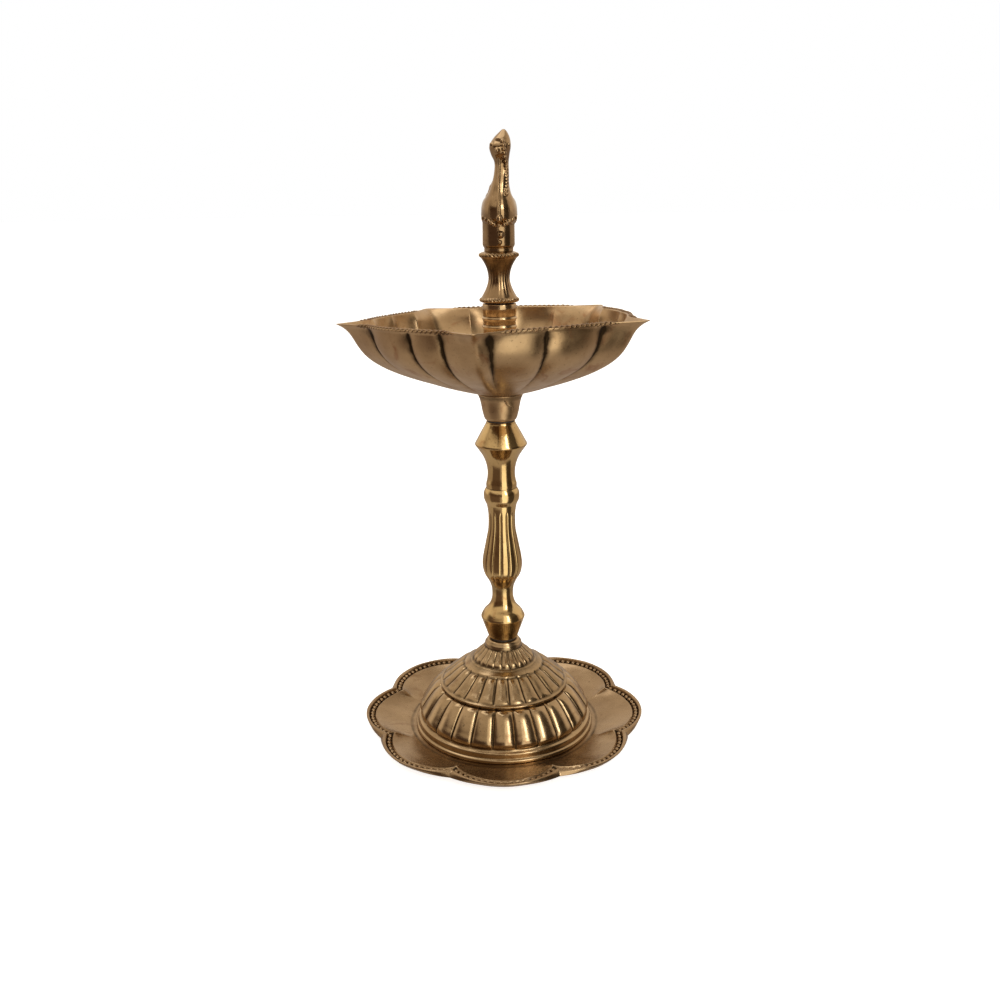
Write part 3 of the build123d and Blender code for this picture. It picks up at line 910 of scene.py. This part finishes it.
# ovals of the body, up the neck to the crest: x, y, z, half width, half depth
BODY = (
    (0.4, 1.5, 260.6, 6.6, 8.0), (0.4, 1.5, 261.6, 7.9, 10.4), (0.4, 1.5, 263.0, 8.45, 12.0),
    (0.4, 1.0, 267.5, 8.4, 12.3), (0.4, 0.0, 271.5, 7.3, 10.0), (0.7, -1.5, 275.0, 5.3, 6.6),
    (1.1, -2.0, 279.0, 4.1, 4.8), (1.7, -1.0, 284.0, 3.5, 3.7), (1.7, 0.0, 289.0, 3.4, 3.5),
    (1.2, -0.8, 292.0, 4.3, 4.8), (1.1, -1.2, 295.5, 5.0, 5.5), (1.8, -0.2, 298.8, 4.0, 4.2),
    (2.6, 0.8, 301.8, 1.9, 2.2), (2.8, 0.8, BIRD_Z[1] - 0.2, 0.6, 0.8))
TAIL = (
    (0, 10.0, 262.3, 6.0, 3.8), (0, 15.0, 269.0, 6.4, 3.0), (0, 18.5, 276.0, 4.9, 2.2),
    (0, 20.3, 281.6, 2.3, 1.0))
# keel on the breast, from the drum up the neck
KEEL = (
    (0.2, -10.4, 261.5, 0.8, 1.3), (0.2, -11.2, 266.0, 0.75, 1.1), (0.2, -9.8, 271.5, 0.75, 1.0),
    (0.2, -7.8, 275.0, 0.7, 1.0), (0.3, -6.4, 279.0, 0.7, 0.9), (0.5, -4.4, 284.0, 0.65, 0.9),
    (0.6, -3.2, 289.0, 0.6, 0.8), (0.7, -5.1, 292.5, 0.5, 0.8))
# beaded mane from the forehead down the side of the neck
MANE = (
    (2.2, -6.2, 297.6), (2.7, -5.9, 294.2), (3.1, -4.2, 290.8), (3.7, -3.2, 287.0),
    (4.0, -3.6, 282.5), (3.8, -5.2, 278.0), (3.9, -7.2, 274.6))
# place, half sizes and lean in degrees of the small forms
SHOULDER_FEATHERS = (
    ((-2.6, 2.5, 277.2), (1.7, 3.0, 2.3), (0, 18, 0)),
    ((-4.0, 3.0, 273.2), (2.0, 3.4, 2.6), (0, 18, 0)))
BEAK_AND_CREST = (
    ((-0.1, -5.9, 294.2), (1.2, 2.2, 1.0), (38, 0, -12)),
    ((1.0, -4.6, 298.0), (2.2, 1.6, 0.7), (-30, 14, 0)),
    ((3.3, 0.4, 300.9), (1.3, 1.7, 1.9)))
DRUM_ORNAMENTS = (
    ((0.3, -11.6, 263.6), (1.4, 1.5, 1.9)),
    ((0.1, -10.6, 260.6), (0.8, 1.0, 1.0)),
    ((0.9, -7.9, 256.4), (1.3, 1.3, 1.6)),
    ((0.5, -7.9, 252.9), (0.8, 0.9, 1.0)))
BIRD_VOXEL = 0.2


def wing(side):
    """Folded wing, its feathers, the eye above it and the wing's edge below the breast."""
    forms = [ball((0.4 + side * 5.4, 1.5, 266.6), (3.0, 9.0, 6.6), (14, 0, -side * 6))]
    for k in range(4):
        place = (0.4 + side * (6.4 - 0.5 * k), 6.5 + 2.6 * k, 264.5 + 2.2 * k)
        forms.append(ball(place, (1.5, 4.6, 1.25), (28 + 8 * k, 0, -side * 10)))
    forms.append(ball((1.1 + side * 4.0, -3.6, 296.2), (0.9, 1.1, 1.0)))
    for k in range(5):
        place = (0.4 + side * (2.2 + 1.3 * k), -9.6 + 1.1 * k * k / 3, 260.9 + 0.75 * k)
        forms.append(ball(place, (1.0, 1.3, 1.1)))
    return forms


def bird_forms():
    """All the closed forms that are cast in one."""
    drum = outline(
        straight((0, BIRD_Z[0]), (7.0, BIRD_Z[0]), (6.9, 250.2), (7.5, 250.9), (7.7, 251.6), (7.6, 263.5),
                 (0, 263.5)), soften=1)
    forms = [lathe_parts(drum, 64), oval_loft(BODY), oval_loft(TAIL), oval_loft(KEEL, turns=16)]
    forms += wing(-1) + wing(1)
    forms += [ball(*form) for form in SHOULDER_FEATHERS]
    for k, place in enumerate(curved(*MANE, step=2.1)):
        forms.append(ball(tuple(place), (1.05 + 0.15 * (k % 2), 1.15, 0.85)))
    return forms + [ball(*form) for form in BEAK_AND_CREST + DRUM_ORNAMENTS]


def make_bird():
    """Bird and drum cast in one: body, neck, head, crest, folded wings and raised tail."""
    raw = raw_object("bird_raw", *joined(*bird_forms()))
    remesh = raw.modifiers.new("remesh", "REMESH")
    remesh.mode = "VOXEL"
    remesh.voxel_size = BIRD_VOXEL * MM
    soft = raw.modifiers.new("soft", "SMOOTH")
    soft.factor = 0.5
    soft.iterations = 9
    dg = bpy.context.evaluated_depsgraph_get()
    final = bpy.data.meshes.new_from_object(raw.evaluated_get(dg))
    bpy.data.meshes.remove(raw.data)
    final.name = "bird"
    final.shade_smooth()
    bird = in_scene("bird", final)
    add_cavity(bird, 8)
    return bird


finish_piece(make_bird(), "finial", ["peacock"], FINIAL_MAT)


# ------------------------------------------------------------------ CAD nodes that stay

for node, material in (("base_screw", STEEL_MAT), ("base_nut", STEEL_MAT), ("base_nut_washer", STEEL_MAT),
                       ("bowl_screw", SCREW_MAT), ("finial_screw", SCREW_MAT), ("base_seal", FIBRE_MAT),
                       ("stem_seal", FIBRE_MAT), ("finial_seal", FIBRE_MAT)):
    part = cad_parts[node]
    part.data.materials.clear()
    part.data.materials.append(material)


# ------------------------------------------------------------------ stage, light and camera

FLOOR_SIZE = 30
BACKDROP_R = 14


def floor_material():
    """Pale and dull, with a glow that keeps it nearly white."""
    mat = bpy.data.materials.new("floor_pale")
    mat.use_nodes = True
    shader = mat.node_tree.nodes["Principled BSDF"]
    shader.inputs["Base Color"].default_value = (0.86, 0.86, 0.86, 1)
    shader.inputs["Roughness"].default_value = 0.9
    shader.inputs["Specular IOR Level"].default_value = 0.1
    shader.inputs["Emission Color"].default_value = (1, 1, 1, 1)
    shader.inputs["Emission Strength"].default_value = 0.8
    return mat


def backdrop_material():
    """Plain white glow."""
    mat = bpy.data.materials.new("backdrop_pale")
    mat.use_nodes = True
    mat.node_tree.nodes.clear()
    glow = mat.node_tree.nodes.new("ShaderNodeEmission")
    glow.inputs["Color"].default_value = (1, 1, 1, 1)
    glow.inputs["Strength"].default_value = 1.0
    out = mat.node_tree.nodes.new("ShaderNodeOutputMaterial")
    mat.node_tree.links.new(glow.outputs[0], out.inputs["Surface"])
    return mat


def make_stage():
    """Pale floor, and a white backdrop that only the camera sees."""
    bpy.ops.mesh.primitive_plane_add(size=FLOOR_SIZE, location=(0, 0, 0))
    floor = bpy.context.object
    floor.name = "floor"
    floor.data.materials.append(floor_material())
    floor.visible_glossy = False
    bpy.ops.mesh.primitive_uv_sphere_add(radius=BACKDROP_R, location=(0, 0, 0), segments=64, ring_count=32)
    backdrop = bpy.context.object
    backdrop.name = "backdrop"
    backdrop.data.materials.append(backdrop_material())
    backdrop.visible_glossy = False
    backdrop.visible_diffuse = False
    backdrop.visible_shadow = False
    backdrop.visible_transmission = False


def area(name, place, target, size, power):
    """White rectangular light, aimed at a point."""
    data = bpy.data.lights.new(name, "AREA")
    data.shape = "RECTANGLE"
    data.size, data.size_y = size
    data.energy = power
    light = in_scene(name, data)
    light.location = place
    light.rotation_mode = "QUATERNION"
    light.rotation_quaternion = (Vector(target) - Vector(place)).to_track_quat("-Z", "Y")


# heights in degrees between which the room's colour changes, and its colour above them
ROOM_LOWEST = (0.52, 0.45, 0.39)
ROOM_LEVELS = (
    (-45.0, -10.0, (0.44, 0.36, 0.30)),
    (-4.0, 6.0, (0.17, 0.125, 0.095)),
    (20.0, 36.0, (0.80, 0.70, 0.58)),
    (55.0, 75.0, (0.46, 0.40, 0.33)))
BEHIND_COLOUR = (0.92, 0.80, 0.66)
# directions and heights in degrees of the dark walls and the window, each with its softness,
# then how strongly it covers the room, and its colour
ROOM_PANELS = (
    ((-78.0, -10.0, 4.0), (-40.0, 24.0, 6.0), 0.85, (0.10, 0.058, 0.04)),
    ((46.0, 88.0, 3.0), (-55.0, 60.0, 6.0), 0.92, (0.05, 0.038, 0.025)),
    ((4.0, 40.0, 1.5), (-48.0, 52.0, 3.0), 1.0, (1.75, 1.65, 1.42)))


def make_world():
    """Warm room: pale above and below, dark at eye level, with one tall window to the front right."""
    world = bpy.data.worlds.new("studio")
    bpy.context.scene.world = world
    world.use_nodes = True
    n = Wiring(world.node_tree, "Generated")
    split = n.new("SeparateXYZ")
    n.link(n.coord, split.inputs[0])
    x, y, z = split.outputs
    azimuth = n.math("MULTIPLY", n.math("ARCTAN2", x, n.math("MULTIPLY", y, -1.0)), 180.0 / math.pi)
    height = n.math("MULTIPLY", n.math("ARCSINE", z), 180.0 / math.pi)
    colour = ROOM_LOWEST
    for low, high, above in ROOM_LEVELS:
        colour = n.mix(n.step(height, low, high), colour, above)
    behind = n.step(n.math("ABSOLUTE", azimuth), 82.0, 106.0)
    colour = n.mix(n.math("MULTIPLY", behind, n.band(height, 0.0, 42.0, 6.0)), colour, BEHIND_COLOUR)
    for directions, heights, cover, panel_colour in ROOM_PANELS:
        panel = n.math("MULTIPLY", n.band(azimuth, *directions), n.band(height, *heights))
        colour = n.mix(n.math("MULTIPLY", panel, cover), colour, panel_colour)
    back = n.tree.nodes["Background"]
    n.link(colour, back.inputs["Color"])
    back.inputs["Strength"].default_value = 1.0


SENSOR_WIDTH = 36.0
FOCAL_LENGTH = 1.0105 * SENSOR_WIDTH
CAMERA_BACK = 493.6
CAMERA_UP = 267.3
CAMERA_PITCH = 16.82
CAMERA_ROLL = -0.683
CAMERA_YAW = -0.097


def make_camera():
    """Camera in front of the lamp and a little above it, looking down."""
    data = bpy.data.cameras.new("camera")
    data.sensor_width = SENSOR_WIDTH
    data.lens = FOCAL_LENGTH
    camera = in_scene("camera", data)
    bpy.context.scene.camera = camera
    pitch, roll, yaw = (math.radians(v) for v in (CAMERA_PITCH, CAMERA_ROLL, CAMERA_YAW))
    forward = Vector((math.sin(yaw) * math.cos(pitch), math.cos(yaw) * math.cos(pitch), -math.sin(pitch)))
    right = Vector((math.cos(yaw), -math.sin(yaw), 0))
    up = right.cross(forward)
    side = math.cos(roll) * right + math.sin(roll) * up
    top = -math.sin(roll) * right + math.cos(roll) * up
    turn = Matrix((side, top, -forward)).transposed()
    place = Vector((0, -CAMERA_BACK, CAMERA_UP + TRAY_Z[1])) * MM
    camera.matrix_world = Matrix.Translation(place) @ turn.to_4x4()


make_stage()
make_world()
area("key", (0.62, -1.0, 0.85), (0, 0, 0.17), (0.25, 0.6), 2.2)
area("top", (-0.2, 0.2, 1.3), (0, 0, 0.1), (1.0, 1.0), 4)
make_camera()
bpy.context.scene.view_settings.view_transform = "Standard"
